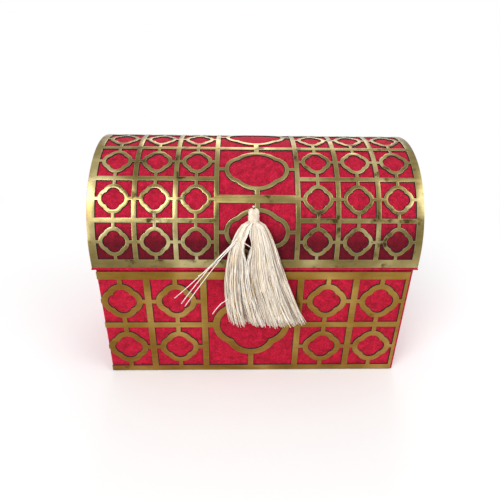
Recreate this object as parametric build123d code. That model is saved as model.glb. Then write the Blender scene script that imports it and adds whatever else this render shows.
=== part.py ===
from build123d import *
import os
from math import atan2, cos, degrees, hypot, pi, radians, sin, sqrt

# A velvet-covered gift trunk: a box with a half-barrel lid, a gold fretwork sheet
# over the lid and on the front, two small hinges at the back and a silk tassel.
# Frame: millimetres, +Z up, front towards -Y, +X to the right as seen from the front,
# origin at the centre of the base's underside.

# Overall sizes, measured over the velvet
base_width = 256.8
base_depth = 152.0
base_height = 106.3
lid_lip_height = 9.7
lid_side_overhang = 2.6
lid_front_overhang = 1.5

# Materials
board = 5.0
bent_board = 3.0
velvet = 0.8
lining = 1.2
bottom_cover = 0.8
fretwork = 1.0

# Gaps
lid_gap = 0.3
seat_gap = 0.05
soft_gap = 0.3

# Front fretwork, flat on the base
front_sheet_lift = 0.4
front_sheet_below_rim = 1.2
front_bottom_border = 5.4
front_top_border = 6.9
front_bar = 5.2
front_cell_width = 40.7
front_outer_cell_width = 38.1
front_centre_cell_width = 74.7
front_right_bar = 2.6
front_pattern_shift = -3.2
front_left_trim = 0.2
front_ring = 4.7
front_foil_half = 12.05
front_link = 3.6
front_large_ring = 5.6
front_large_foil_half = 27.3
front_large_link = 4.8

# Lid fretwork, bent over the dome
lid_sheet_lift = 2.7
lid_sheet_side_margin = 0.9
lid_bottom_border = 7.2
lid_bar = 3.6
lid_cell_width = 27.9
lid_cell_height = 29.96
lid_centre_cell_width = 59.5
lid_centre_bar = 6.4
lid_ring = 2.8
lid_foil_half = 8.9
lid_link = 2.3
lid_large_ring = 3.1
lid_large_foil_half_width = 22.2
lid_large_foil_half_height = 15.8
lid_large_link_high = 2.6
lid_large_link_wide = 3.6
lid_columns = 3
lid_pattern_repeats = 2
rows_per_repeat = 3
large_cells_per_repeat = 2

# Shape of a four-lobed ring: where two lobes meet, as a share of its half width and half height
small_cusp = 0.58
large_cusp_across = 0.64
large_cusp_up = 0.60
# Flat sides that one lobe of a ring has
front_lobe_sides = 5
lid_lobe_sides = 3
lid_large_lobe_sides = 5

# Hinges
hinge_offset = 75.0
leaf_width = 24.0
leaf_height = 9.2
leaf_thickness = 0.9
barrel_radius = 1.9
pin_radius = 0.9
pin_running_gap = 0.05
pin_press_gap = 0.01
knuckle_gap = 0.2
knuckle_count = 3
screw_radius = 0.8
screw_head_radius = 1.5
screw_length_base = 5.6
screw_length_lid = 4.2
screw_spacing = 13.0
screw_from_pin = 6.0
screw_sides = 8

# Tassel
tassel_x = -3.0
tassel_ball_angle = 27.6
tassel_ball_radius = 4.2
tassel_ball_standoff = 5.2
cord_radius = 0.9
cord_hole_radius = 1.1
cord_hole_angle = 32.1
cord_rise = 1.2
cord_bend_radius = 1.7
cord_sides = 8
knot_radius = 2.4
knot_levels = 3
ball_sides = 16
ball_levels = 6
neck_radius = 4.3
neck_lean = 25.0
neck_bottom = 10.0
binding_radius = 4.8
binding_top = 5.4
binding_bottom = 8.6
skirt_length = 87.0
skirt_hem_half_width = 31.5
skirt_half_thickness = 4.3
skirt_hem_thicker = 1.7
skirt_hem_right = 11.0
skirt_middle_left = 12.0
skirt_sections = 6
skirt_sides = 16
# Powers of the skirt's curves: how soon it spreads, and how soon it hangs straight down
skirt_flare = 0.45
skirt_straightens = 5

# Worked out from the sizes above
lid_width = base_width + 2 * lid_side_overhang
lid_depth = base_depth + lid_front_overhang
lid_bottom = base_height + lid_gap
dome_radius = lid_depth / 2
dome_y = -lid_front_overhang / 2
dome_z = lid_bottom + lid_lip_height
front_face = -base_depth / 2
back_face = base_depth / 2
board_bottom = bottom_cover + board
wall_top = base_height - velvet
sheet_radius = dome_radius + fretwork
front_sheet_height = wall_top - front_sheet_below_rim - front_sheet_lift
front_cell_height = (front_sheet_height - front_bottom_border - front_bar - front_top_border) / 2


def save(name, shape):
    """Write one sub-part and print its volume."""
    solids = shape.solids()
    print(f"{name}: {len(solids)} solids, {sum(s.volume for s in solids):.1f} mm3")
    export_step(shape if len(solids) == 1 else Compound(children=solids), f"parts/{name}.step")


def block(x0, x1, y0, y1, z0, z1):
    """Box between two corners."""
    return Pos((x0 + x1) / 2, (y0 + y1) / 2, (z0 + z1) / 2) * Box(x1 - x0, y1 - y0, z1 - z0)


def dome_point(x, radius, angle):
    """Point of the dome at a radius and an angle above its front spring line, in degrees."""
    turn = radians(angle)
    return (x, dome_y - radius * cos(turn), dome_z + radius * sin(turn))


def dome_plane(x, radius, angle):
    """Plane that touches the dome there: its X runs along the trunk and its Z points outwards."""
    turn = radians(angle)
    return Plane(origin=dome_point(x, radius, angle), x_dir=(1, 0, 0), z_dir=(0, -cos(turn), sin(turn)))


def barrel_profile(outer, lip_z):
    """Outline of the barrel's end at one radius: two upright lips and a half circle."""
    left, right, top = (dome_y - outer, dome_z), (dome_y + outer, dome_z), (dome_y, dome_z + outer)
    outline = Line((dome_y - outer, lip_z), left) + ThreePointArc(left, top, right)
    outline += Line(right, (dome_y + outer, lip_z)) + Line((dome_y + outer, lip_z), (dome_y - outer, lip_z))
    return make_face(outline)


def barrel(outer, lip_z, x0, x1):
    """Solid half barrel between two places along the trunk."""
    return extrude(Plane.YZ.offset(x0) * barrel_profile(outer, lip_z), x1 - x0)


def barrel_shell(outer, thickness, lip_z, x0, x1):
    """Bent sheet: one half barrel less the one inside it."""
    return barrel(outer, lip_z, x0, x1) - barrel(outer - thickness, lip_z - 1, x0 - 1, x1 + 1)


def lobe_circles(half_width, half_height, cusp_across, cusp_up, grow):
    """Centre and radius of the top and the side lobe, which pass through the tips and the cusps."""
    x, y = cusp_across * half_width, cusp_up * half_height
    top = (half_height**2 - x**2 - y**2) / (2 * (half_height - y))
    side = (half_width**2 - x**2 - y**2) / (2 * (half_width - x))
    return (top, half_height - top + grow), (side, half_width - side + grow)


def outer_crossing(top, top_radius, side, side_radius):
    """Where a circle centred at (0, top) meets one centred at (side, 0), on the outer side."""
    gap = hypot(side, top)
    along = (top_radius**2 - side_radius**2 + gap**2) / (2 * gap)
    across = sqrt(top_radius**2 - along**2)
    ways = [(along * side + s * across * top, top * gap - along * top + s * across * side) for s in (1, -1)]
    return max(((x / gap, y / gap) for x, y in ways), key=sum)


def quatrefoil(half_width, half_height, cusps, grow, sides):
    """Face with four round lobes of that many flat sides each, grown outwards by grow."""
    lobes = lobe_circles(half_width, half_height, *cusps, grow)
    (top, top_radius), (side, side_radius) = lobes
    x, y = outer_crossing(top, top_radius, side, side_radius)
    corners = []
    for quarter in range(4):
        centre, radius = lobes[quarter % 2]
        half_angle = atan2(x, y - centre) if quarter % 2 == 0 else atan2(y, x - centre)
        facing = pi / 2 * (1 - quarter)
        for step in range(sides):
            turn = facing + half_angle * (1 - 2 * step / sides)
            corners.append((
                centre * cos(facing) + radius * cos(turn),
                centre * sin(facing) + radius * sin(turn),
            ))
    return make_face(Polyline(*corners, close=True))


def cell_openings(width, height, foil, cusps, ring, links, sides):
    """What is cut out of one cell: its rectangle, less a four-lobed ring held by four links."""
    half_width, half_height = foil
    link_high, link_wide = links
    bars = Rectangle(width + 2, link_high) + Rectangle(link_wide, height + 2)
    hole = quatrefoil(half_width, half_height, cusps, 0.0, sides)
    return Rectangle(width, height) - quatrefoil(half_width, half_height, cusps, ring, sides) - bars + hole


def front_fretwork():
    """Flat sheet on the base's front: a wide centre cell, two small columns each side, two rows."""
    bottom = front_sheet_lift
    rows_bottom = bottom + front_bottom_border
    pitch = front_cell_height + front_bar
    top = bottom + front_sheet_height
    inner = front_centre_cell_width / 2 + front_bar
    outer = inner + front_cell_width + front_bar
    left = -base_width / 2 + front_left_trim
    right = front_pattern_shift + outer + front_outer_cell_width + front_right_bar
    sheet = Pos((left + right) / 2, (bottom + top) / 2) * Rectangle(right - left, top - bottom)
    cusps = (small_cusp, small_cusp)
    foil = (front_foil_half, front_foil_half)
    links = (front_link, front_link)
    for width, offset in (
        (front_cell_width, inner + front_cell_width / 2),
        (front_outer_cell_width, outer + front_outer_cell_width / 2),
    ):
        cell = cell_openings(width, front_cell_height, foil, cusps, front_ring, links, front_lobe_sides)
        for side in (-1, 1):
            for row in range(2):
                z = rows_bottom + front_cell_height / 2 + row * pitch
                sheet -= Pos(front_pattern_shift + side * offset, z) * cell
    large = cell_openings(
        front_centre_cell_width, 2 * front_cell_height + front_bar,
        (front_large_foil_half, front_large_foil_half), cusps, front_large_ring,
        (front_bar, front_large_link), 2 * front_lobe_sides,
    )
    sheet -= Pos(front_pattern_shift, rows_bottom + pitch - front_bar / 2) * large
    return extrude(Plane.XZ.offset(-front_face) * sheet, fretwork)


def creased_profile(inner, thickness, lip_z, fold_angles):
    """Outline of the bent sheet's end: an upright lip, then flat strips between creases."""
    inside = [(dome_y - inner, lip_z)]
    outside = [(dome_y - inner - thickness, lip_z)]
    strip = max(b - a for a, b in zip(fold_angles, fold_angles[1:]))
    inner_corner = inner / cos(radians(strip / 2))
    outer_corner = inner_corner + thickness
    for angle in fold_angles:
        across, up = cos(radians(angle)), sin(radians(angle))
        inside.append((dome_y - inner_corner * across, dome_z + inner_corner * up))
        outside.append((dome_y - outer_corner * across, dome_z + outer_corner * up))
    return make_face(Polyline(*inside, *reversed(outside), close=True))


def lid_fretwork():
    """Sheet bent over the dome: small rings in rows and columns, wide rings down the centre."""
    lip_z = lid_bottom + lid_sheet_lift
    half_width = lid_width / 2 - lid_sheet_side_margin
    rows = lid_pattern_repeats * rows_per_repeat
    pitch = lid_cell_height + lid_bar
    degrees_per_mm = degrees(1 / sheet_radius)
    lip = dome_z - lip_z
    row_starts = [lid_bottom_border + row * pitch for row in range(rows)]
    folds = [lid_bottom_border - lid_bar / 2 + fold * pitch / 2 for fold in range(2 * rows + 1)]
    folds.append(row_starts[-1] + lid_cell_height + lid_bottom_border)
    angles = [(place - lip) * degrees_per_mm for place in folds]
    profile = creased_profile(dome_radius, fretwork, lip_z, angles)
    sheet = extrude(Plane.YZ.offset(-half_width) * profile, 2 * half_width)
    cell = cell_openings(
        lid_cell_width, lid_cell_height, (lid_foil_half, lid_foil_half), (small_cusp, small_cusp),
        lid_ring, (lid_link, lid_link), lid_lobe_sides,
    )
    first = lid_centre_cell_width / 2 + lid_bar + lid_cell_width / 2
    places = [side * (first + n * (lid_cell_width + lid_bar)) for side in (-1, 1) for n in range(lid_columns)]
    for start in row_starts:
        line = Sketch() + [Pos(x, 0) * cell for x in places]
        angle = (start + lid_cell_height / 2 - lip) * degrees_per_mm
        sheet -= cutter(line, angle, lid_cell_height)
    span = rows_per_repeat * pitch - lid_bar
    tall = (span - (large_cells_per_repeat - 1) * lid_centre_bar) / large_cells_per_repeat
    wide = cell_openings(
        lid_centre_cell_width, tall, (lid_large_foil_half_width, lid_large_foil_half_height),
        (large_cusp_across, large_cusp_up), lid_large_ring, (lid_large_link_high, lid_large_link_wide),
        lid_large_lobe_sides,
    )
    for repeat in range(lid_pattern_repeats):
        for n in range(large_cells_per_repeat):
            middle = row_starts[repeat * rows_per_repeat] + n * (tall + lid_centre_bar) + tall / 2
            sheet -= cutter(wide, (middle - lip) * degrees_per_mm, tall)
    return sheet


def cutter(openings, angle, height):
    """Openings drawn on the plane that touches the dome at an angle, carried through the sheet."""
    sag = sheet_radius - sqrt(sheet_radius**2 - (height / 2) ** 2)
    inward = sag + 2 * fretwork
    plane = dome_plane(0, sheet_radius - inward, angle)
    return extrude(plane * openings, inward + 2 * fretwork)


def screw(length, grow=0.0):
    """Screw along +Z, its head flush with the leaf's face; grown for its hole."""
    head = extrude(RegularPolygon(screw_head_radius + grow, screw_sides), leaf_thickness)
    return head + extrude(RegularPolygon(screw_radius + grow, screw_sides), length + grow)


def screws(direction, length, grow=0.0):
    """The screws of both hinges, through the leaves below (-1) or above (+1) the pin."""
    found = []
    for hinge_x in (-hinge_offset, hinge_offset):
        for side in (-1, 1):
            place = Pos(hinge_x + side * screw_spacing / 2, back_face + leaf_thickness,
                        pin_z + direction * screw_from_pin)
            found.append(place * Rot(90, 0, 0) * screw(length, grow))
    return found


pin_z = base_height + lid_gap / 2
pin_y = back_face + soft_gap + barrel_radius


def pin_line_bar(x, radius, length):
    """Round bar on the pins' line with its middle at x."""
    return Pos(x, pin_y, pin_z) * Rot(0, 90, 0) * Cylinder(radius, length)


def hinge_leaf(hinge_x, direction):
    """Leaf on the back face with its knuckles: the base's below the pin, the lid's above it."""
    clear = barrel_radius + soft_gap
    low, high = sorted((pin_z + direction * clear, pin_z + direction * leaf_height))
    leaf = block(hinge_x - leaf_width / 2, hinge_x + leaf_width / 2,
                 back_face, back_face + leaf_thickness, low, high)
    length = leaf_width / knuckle_count
    bore = pin_radius + (pin_press_gap if direction < 0 else pin_running_gap)
    for n in range(knuckle_count):
        if (n % 2 == 0) != (direction < 0):
            continue
        x = hinge_x - leaf_width / 2 + (n + 0.5) * length
        half = (length - knuckle_gap) / 2
        low, high = sorted((pin_z, pin_z + direction * (clear + leaf_thickness)))
        leaf += block(x - half, x + half, back_face, back_face + leaf_thickness, low, high)
        leaf += pin_line_bar(x, barrel_radius, 2 * half)
    leaf -= pin_line_bar(hinge_x, bore, 2 * leaf_width)
    length = screw_length_base if direction < 0 else screw_length_lid
    for hole in screws(direction, length, seat_gap):
        leaf -= hole
    return leaf


# Base: floor, four walls, their velvet, the rim, the lining and the front fretwork
half_w, half_d = base_width / 2, base_depth / 2
in_w, in_d = half_w - velvet, half_d - velvet
base_screw_holes = screws(-1, screw_length_base, seat_gap)
save("base_bottom_cover", block(-in_w, in_w, -in_d, in_d, 0, bottom_cover))
save("base_floor_board", block(-in_w, in_w, -in_d, in_d, bottom_cover, board_bottom))
save("base_front_board", block(-in_w, in_w, -in_d, -in_d + board, board_bottom, wall_top))
back_wall = block(-in_w, in_w, in_d - board, in_d, board_bottom, wall_top)
save("base_back_board", back_wall - base_screw_holes)
back_velvet = block(-half_w, half_w, in_d, half_d, 0, wall_top)
save("base_velvet_back", back_velvet - base_screw_holes)
save("base_velvet_front", block(-half_w, half_w, -half_d, -in_d, 0, wall_top))
for side, name in ((-1, "left"), (1, "right")):
    near, far = sorted((side * (in_w - board), side * in_w))
    save(f"base_{name}_board", block(near, far, -in_d + board, in_d - board, board_bottom, wall_top))
    near, far = sorted((side * in_w, side * half_w))
    save(f"base_velvet_{name}", block(near, far, -in_d, in_d, 0, wall_top))
room_w, room_d = in_w - board, in_d - board
rim = block(-half_w, half_w, -half_d, half_d, wall_top, base_height)
save("base_rim_velvet", rim - block(-room_w, room_w, -room_d, room_d, wall_top - 1, base_height + 1))
save("base_fretwork", front_fretwork())
lining_floor = board_bottom + lining
save("base_lining_floor", block(-room_w, room_w, -room_d, room_d, board_bottom, lining_floor))
save("base_lining_front", block(-room_w, room_w, -room_d, -room_d + lining, lining_floor, base_height))
save("base_lining_back", block(-room_w, room_w, room_d - lining, room_d, lining_floor, base_height))
for side, name in ((-1, "left"), (1, "right")):
    near, far = sorted((side * (room_w - lining), side * room_w))
    panel = block(near, far, -room_d + lining, room_d - lining, lining_floor, base_height)
    save(f"base_lining_{name}", panel)

# Lid: two end boards, the bent board over them, velvet, lining and the dome's fretwork
lid_board_bottom = lid_bottom + velvet
lid_half = lid_width / 2
end_outer, end_inner = lid_half - velvet, lid_half - velvet - board
bent_outer = dome_radius - velvet
bent_inner = bent_outer - bent_board
cord_line = dome_plane(tassel_x, 0, cord_hole_angle)
cord_bore = extrude(cord_line * RegularPolygon(cord_hole_radius, cord_sides), lid_depth)
lid_screw_holes = screws(1, screw_length_lid, seat_gap)
shell = barrel_shell(bent_outer, bent_board, lid_board_bottom, -end_outer, end_outer)
save("lid_bent_board", shell - cord_bore - lid_screw_holes)
cover = barrel_shell(dome_radius, velvet, lid_board_bottom, -lid_half, lid_half)
save("lid_velvet_dome", cover - cord_bore - lid_screw_holes)
lining_shell = barrel_shell(bent_inner, lining, lid_bottom, -end_inner + lining, end_inner - lining)
save("lid_lining_dome", lining_shell - cord_bore)
for side, name in ((-1, "left"), (1, "right")):
    near, far = sorted((side * end_inner, side * end_outer))
    save(f"lid_{name}_end_board", barrel(bent_inner, lid_board_bottom, near, far))
    near, far = sorted((side * end_outer, side * lid_half))
    save(f"lid_velvet_{name}_end", barrel(bent_outer, lid_board_bottom, near, far))
    near, far = sorted((side * (end_inner - lining), side * end_inner))
    save(f"lid_lining_{name}_end", barrel(bent_inner, lid_bottom, near, far))
rim = block(-lid_half, lid_half, dome_y - dome_radius, dome_y + dome_radius, lid_bottom, lid_board_bottom)
room = block(-end_inner, end_inner, dome_y - bent_inner, dome_y + bent_inner,
             lid_bottom - 1, lid_board_bottom + 1)
save("lid_rim_velvet", rim - room)
save("lid_fretwork", lid_fretwork())

# Hinges
places = (-hinge_offset, hinge_offset)
save("hinge_base_leaves", Compound(children=[hinge_leaf(x, -1).solid() for x in places]))
save("hinge_lid_leaves", Compound(children=[hinge_leaf(x, 1).solid() for x in places]))
save("hinge_pins", Compound(children=[pin_line_bar(x, pin_radius, leaf_width).solid() for x in places]))
save("hinge_base_screws", Compound(children=[s.solid() for s in screws(-1, screw_length_base)]))
save("hinge_lid_screws", Compound(children=[s.solid() for s in screws(1, screw_length_lid)]))

# Tassel: a cord knotted inside the lid, a bound head and a skirt of threads
ball_centre = Vector(*dome_point(tassel_x, sheet_radius + tassel_ball_standoff, tassel_ball_angle))
cord_top = Vector(*dome_point(tassel_x, sheet_radius + cord_rise, cord_hole_angle))
knot_top = Vector(*dome_point(tassel_x, bent_inner - lining, cord_hole_angle))
towards_ball = (ball_centre - cord_top).normalized()
cord_end = ball_centre - towards_ball * (tassel_ball_radius + soft_gap)
cord_path = FilletPolyline(knot_top, cord_top, cord_end, radius=cord_bend_radius)
cord_start = Plane(origin=cord_path @ 0, x_dir=(1, 0, 0), z_dir=cord_path % 0)
cord = sweep(cord_start * RegularPolygon(cord_radius, cord_sides), path=cord_path)
print(f"cord: length {cord_path.length:.2f}, volume {cord.volume:.2f}, bend radius {cord_bend_radius}")
save("tassel_cord", cord)


def oval_ring(place, half_width, half_thickness, sides):
    """Corners of a flattened round with flat sides, on the plane z = 0 of a place."""
    turns = [2 * pi * n / sides for n in range(sides)]
    return [(place * Pos(half_width * cos(a), half_thickness * sin(a), 0)).position for a in turns]


def flat_face(*corners):
    """Flat face between corners."""
    return Face(Wire.make_polygon(corners, close=True))


def skin(rings):
    """Solid through rings of as many corners each: two flat triangles a side, and flat ends."""
    faces = [flat_face(*rings[0]), flat_face(*rings[-1])]
    for upper, lower in zip(rings, rings[1:]):
        for n in range(len(upper)):
            after = (n + 1) % len(upper)
            faces.append(flat_face(upper[n], upper[after], lower[after]))
            faces.append(flat_face(upper[n], lower[after], lower[n]))
    return Solid(Shell(faces))


def bound_ball(radius, sides, levels):
    """Ball of thread, flat at its poles."""
    turns = [pi * (level + 0.5) / (levels + 1) for level in range(levels + 1)]
    rings = [(radius * cos(turn), radius * sin(turn)) for turn in turns]
    return skin([oval_ring(Pos(0, 0, height), across, across, sides) for height, across in rings])


knot_drop = knot_radius * cos(pi / 2 / (knot_levels + 1))
knot = dome_plane(tassel_x, bent_inner - lining - knot_drop, cord_hole_angle) * bound_ball(
    knot_radius, cord_sides, knot_levels)
save("tassel_cord_knot", knot)
save("tassel_head", Pos(*ball_centre) * bound_ball(tassel_ball_radius, ball_sides, ball_levels))

lean = Pos(*ball_centre) * Rot(-neck_lean, 0, 0)


def neck_ring(radius, top, bottom):
    """Round piece about the leaning neck, between two drops below the ball's centre."""
    return lean * Pos(0, 0, -bottom) * extrude(RegularPolygon(radius, skirt_sides), bottom - top)


neck_top = tassel_ball_radius + soft_gap
save("tassel_neck", neck_ring(neck_radius, neck_top, neck_bottom))
save("tassel_neck_binding", neck_ring(binding_radius, binding_top, binding_bottom)
     - neck_ring(neck_radius, 0, neck_bottom + 1))


def skirt_centre(share):
    """Middle of the skirt at a share of its length: it leans off the dome, then hangs and drifts right."""
    top = (lean * Pos(0, 0, -neck_bottom)).position
    forward = skirt_length * sin(radians(neck_lean)) / skirt_straightens
    drift = skirt_hem_right * share**2 - skirt_middle_left * share * (1 - share)
    reach = forward * (1 - (1 - share) ** skirt_straightens)
    return Vector(top.X + drift, top.Y - reach, top.Z - skirt_length * share)


def skirt_ring(share):
    """Corners of the skirt's cross-section at a share of its length."""
    wide = neck_radius + (skirt_hem_half_width - neck_radius) * share**skirt_flare
    thick = skirt_half_thickness + skirt_hem_thicker * share
    tilt = neck_lean * (1 - share) ** (skirt_straightens - 1)
    return oval_ring(Pos(*skirt_centre(share)) * Rot(-tilt, 0, 0), wide, thick, skirt_sides)


shares = [(n / (skirt_sections - 1)) ** 2 for n in range(skirt_sections)]
save("tassel_skirt", skin([skirt_ring(share) for share in shares]))
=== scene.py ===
from math import cos, pi, radians, sin

import bmesh
import bpy
import numpy as np
from mathutils import Matrix, Vector
from mathutils.geometry import delaunay_2d_cdt


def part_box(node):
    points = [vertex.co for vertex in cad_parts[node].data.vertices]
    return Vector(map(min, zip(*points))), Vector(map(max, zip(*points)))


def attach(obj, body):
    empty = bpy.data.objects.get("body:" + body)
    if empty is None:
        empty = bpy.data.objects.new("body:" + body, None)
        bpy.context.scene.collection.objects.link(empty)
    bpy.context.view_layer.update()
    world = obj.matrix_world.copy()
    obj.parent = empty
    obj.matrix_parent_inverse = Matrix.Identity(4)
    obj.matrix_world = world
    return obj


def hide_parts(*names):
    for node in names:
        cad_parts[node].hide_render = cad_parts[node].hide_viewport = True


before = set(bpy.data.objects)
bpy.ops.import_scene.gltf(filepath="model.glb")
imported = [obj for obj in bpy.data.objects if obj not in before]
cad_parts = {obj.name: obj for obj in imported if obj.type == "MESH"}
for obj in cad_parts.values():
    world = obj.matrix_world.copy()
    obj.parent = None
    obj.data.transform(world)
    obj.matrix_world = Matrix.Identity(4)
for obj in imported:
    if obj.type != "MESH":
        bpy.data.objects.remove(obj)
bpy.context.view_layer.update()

MM = 0.001

# The camera: its place and turns, and its focal length in pixels of a 500-pixel picture.
CAMERA_PLACE = Vector((-15.2, -372.7, 280.8)) * MM
CAMERA_DOWN = radians(27.846)
CAMERA_RIGHT = radians(1.885)
CAMERA_ROLL = radians(0.988)
FOCAL_PIXELS = 427.248
PICTURE_PIXELS = 500
SENSOR_WIDTH = 36.0

# The trunk in millimetres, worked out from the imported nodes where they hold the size.
base_low, base_high = (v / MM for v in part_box("base_rim_velvet"))
dome_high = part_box("lid_velvet_dome")[1] / MM
lip_low, lip_high = (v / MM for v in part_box("lid_rim_velvet"))
front_low, front_high = (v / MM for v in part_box("base_fretwork"))
sheet_low, sheet_high = (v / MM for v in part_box("lid_fretwork"))
BASE_HALF_WIDTH = base_high.x
BASE_HALF_DEPTH = base_high.y
BASE_HEIGHT = base_high.z
VELVET = base_high.z - base_low.z
BOARD = 5.0
LID_HALF_WIDTH = lip_high.x
LID_BOTTOM = lip_low.z
DOME_Y = (lip_low.y + lip_high.y) / 2
DOME_RADIUS = (lip_high.y - lip_low.y) / 2
DOME_Z = dome_high.z - DOME_RADIUS
CARD = 1.0
CARD_OUTSIDE = DOME_RADIUS + CARD
EDGE_ROUND = 1.5

# How finely the velvet is divided.
CORNER_POINTS, ROUND_POINTS, WALL_ROWS = 7, 5, 12
LIP_POINTS, DOME_STEPS, ALONG_ROWS, END_RINGS = 5, 72, 14, 9

# Shares of the lid end's reach: where its last ring lies, and below which the edge is drawn in evenly.
LAST_RING, EVEN_BELOW = 0.04, 0.03

# Front fretwork: bars and cells as cut.
FRONT_SHIFT = -3.2
FRONT_BOTTOM_BORDER, FRONT_TOP_BORDER, FRONT_BAR = 5.4, 6.9, 5.2
FRONT_CELL, FRONT_OUTER_CELL, FRONT_CENTRE_CELL = 40.7, 38.1, 74.7
FRONT_ROWS = 2
FRONT_RING, FRONT_FOIL, FRONT_LINK = 4.7, 12.05, 3.6
FRONT_LARGE_RING, FRONT_LARGE_FOIL, FRONT_LARGE_LINK = 5.6, 27.3, 4.8

# Lid fretwork: bars and cells measured along the bent sheet.
LID_BORDER, LID_BAR, LID_CENTRE_BAR = 7.2, 3.6, 6.4
LID_CELL, LID_CELL_HEIGHT, LID_CENTRE_CELL = 27.9, 29.96, 59.5
LID_COLUMNS, LID_ROWS, ROWS_PER_REPEAT, LARGE_PER_REPEAT = 3, 6, 3, 2
LID_RING, LID_FOIL, LID_LINK = 2.8, 8.9, 2.3
LID_LARGE_RING, LID_LARGE_FOIL, LID_LARGE_LINKS = 3.1, (22.2, 15.8), (2.6, 3.6)

# Cusps, as shares of a hole's half width and half height.
SMALL_CUSPS, LARGE_CUSPS = (0.58, 0.58), (0.64, 0.60)

# Points on each lobe's arc, and the distance between lines across the flat sheet and across the bent one.
LOBE_POINTS = 13
FLAT_STEP, FOLD_STEP = 20.0, 2.4

# Least cosine of half a corner's turn in a mitre, where points meet, and the area of a sliver to drop.
SHARPEST_MITRE, MEETING_DISTANCE, SLIVER_AREA = 0.5, 1e-6, 1e-7

# A card's rim: its width, how far the gold drops there, and how far the burnt wall slants, which widens its
# dark outline into painted shadow.
RIM, RIM_DROP, KERF_TAPER = 0.45, 0.10, 0.60

# Edges that turn by more than these degrees stay sharp.
CARD_CREASE, VELVET_CREASE, ROUND_CREASE, THREAD_CREASE = 35, 50, 80, 100

# Velvet roll along the lid's lower edge.
ROLL_RADIUS, ROLL_OUT, ROLL_SIDES = 0.95, 0.35, 12

# Tassel: the ball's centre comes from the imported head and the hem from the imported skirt.
# Lengths are in millimetres, and drops run down the leaning neck from the ball's centre.
head_low, head_high = (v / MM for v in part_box("tassel_head"))
skirt_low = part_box("tassel_skirt")[0] / MM
BALL = (head_low + head_high) / 2
HEAD_GRID, NECK_GRID, KNOT_GRID = (144, 40), (96, 24), (48, 25)
BALL_RADIUS, HEAD_RIBS, HEAD_GROOVE, HEAD_RIB = 4.2, 12, 0.96, 0.05
HEAD_NOTCH, HEAD_NOTCH_WIDE, HEAD_NOTCH_TURN = 1.5, 1.2, 0.9
NECK_LEAN = radians(25)
NECK_HALF_LENGTH, NECK_LOWER, NECK_RIBS, NECK_RIB, NECK_END_POWER = 4.0, 1, 14, 0.2, 0.35
BINDING_RADIUS, BINDING_TOP, BINDING_BOTTOM, BINDING_TURNS = 4.5, 1.6, 6.7, 6
BINDING_WAIST, BINDING_OVERLAP, BINDING_POINTS, BINDING_SIDES = 0.25, 1.08, 36, 8
SKIRT_GATHER, SKIRT_GATHER_RADIUS = 6.2, 3.6
SKIRT_HALF_WIDTH_GAIN, SKIRT_FLARE = 28.0, 0.47
SKIRT_HALF_THICKNESS, SKIRT_HEM_THICKER = 3.9, 2.0
SKIRT_FORWARD, SKIRT_STRAIGHTENS = 9.1, 5
SKIRT_HEM_RIGHT, SKIRT_MIDDLE_LEFT = 14.0, 5.5
STRANDS, LOCKS, STRAND_RADIUS, STRAND_STEPS, STRAND_SIDES = 900, 110, 0.30, 20, 4

# Shares of the skirt's length and of its section, where strands lie, and how they gather into locks.
SHORTEST_STRAND, STRAND_CROWDING, INNERMOST_LOCK = 0.92, 1.15, 0.02
STRAND_SPREAD, LOCK_DRAWN_IN, LOCK_DRAW_POWER = 0.10, 0.62, 1.3
PARTING_AT, PARTING_LEVEL, PARTING_WIDTH = -0.27, 0.19, 0.22
PARTING_TALL, PARTING_FADE, CROSSING_STRANDS = 0.09, 0.3, 0.02

# Waves along a strand: heights in millimetres, counts in its length, and the share where kinks are full.
WANDER, WANDER_COUNTS, KINK, KINKS_EACH_WANDER, KINK_FULL_AT = 1.0, (0.6, 1.8), 0.22, 3, 0.25

# A strand's radius lies between these shares of the usual one.
STRAND_RADII = (0.7, 1.25)

# Loose threads, the cord and its knot.
LOOSE_RADIUS, LOOSE_TONE, LOOSE_KINK, LOOSE_WAVES = 0.36, 0.8, 0.55, 13
CORD_HALF, CORD_RADIUS, CORD_PLY, CORD_TWISTS = 0.9, 0.62, 0.2, 2.5
CORD_BEND_OUT, CORD_BEND_DOWN, CORD_STEPS, CORD_SIDES = 2.2, 1.2, 40, 16
KNOT_GROOVE, KNOT_RIDGE, KNOT_RIDGES = 0.86, 0.13, 3

rng = np.random.default_rng(7)


# Mesh helpers

# Points nearer than this, in metres, become one.
MERGE_DISTANCE = 1e-7


def give_share(mesh, values):
    """Gives each point of a mesh a value from 0 to 1 that its material reads."""
    attribute = mesh.attributes.new("share", "FLOAT", "POINT")
    attribute.data.foreach_set("value", values.astype(np.float32).ravel())


def mesh_piece(name, points, faces, body, material, smooth_below, share=None):
    """Piece from points in millimetres and four-sided faces, riding on a body.

    Points that meet, as at a pole, are merged, unless each has a share of its own.
    Edges sharper than smooth_below degrees stay sharp.
    """
    mesh = bpy.data.meshes.new(name)
    mesh.from_pydata((points.reshape(-1, 3) * MM).tolist(), [], faces.tolist())
    if share is not None:
        give_share(mesh, share)
    else:
        work = bmesh.new()
        work.from_mesh(mesh)
        bmesh.ops.remove_doubles(work, verts=work.verts, dist=MERGE_DISTANCE)
        work.to_mesh(mesh)
        work.free()
    mesh.materials.append(material)
    return finished(mesh, body, smooth_below)


def finished(mesh, body, smooth_below):
    """Object of a mesh, shaded smooth below an angle and riding on a body."""
    mesh.polygons.foreach_set("use_smooth", np.ones(len(mesh.polygons), bool))
    mesh.update()
    mesh.set_sharp_from_angle(angle=radians(smooth_below))
    piece = bpy.data.objects.new(mesh.name, mesh)
    bpy.context.scene.collection.objects.link(piece)
    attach(piece, body)
    return piece


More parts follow.
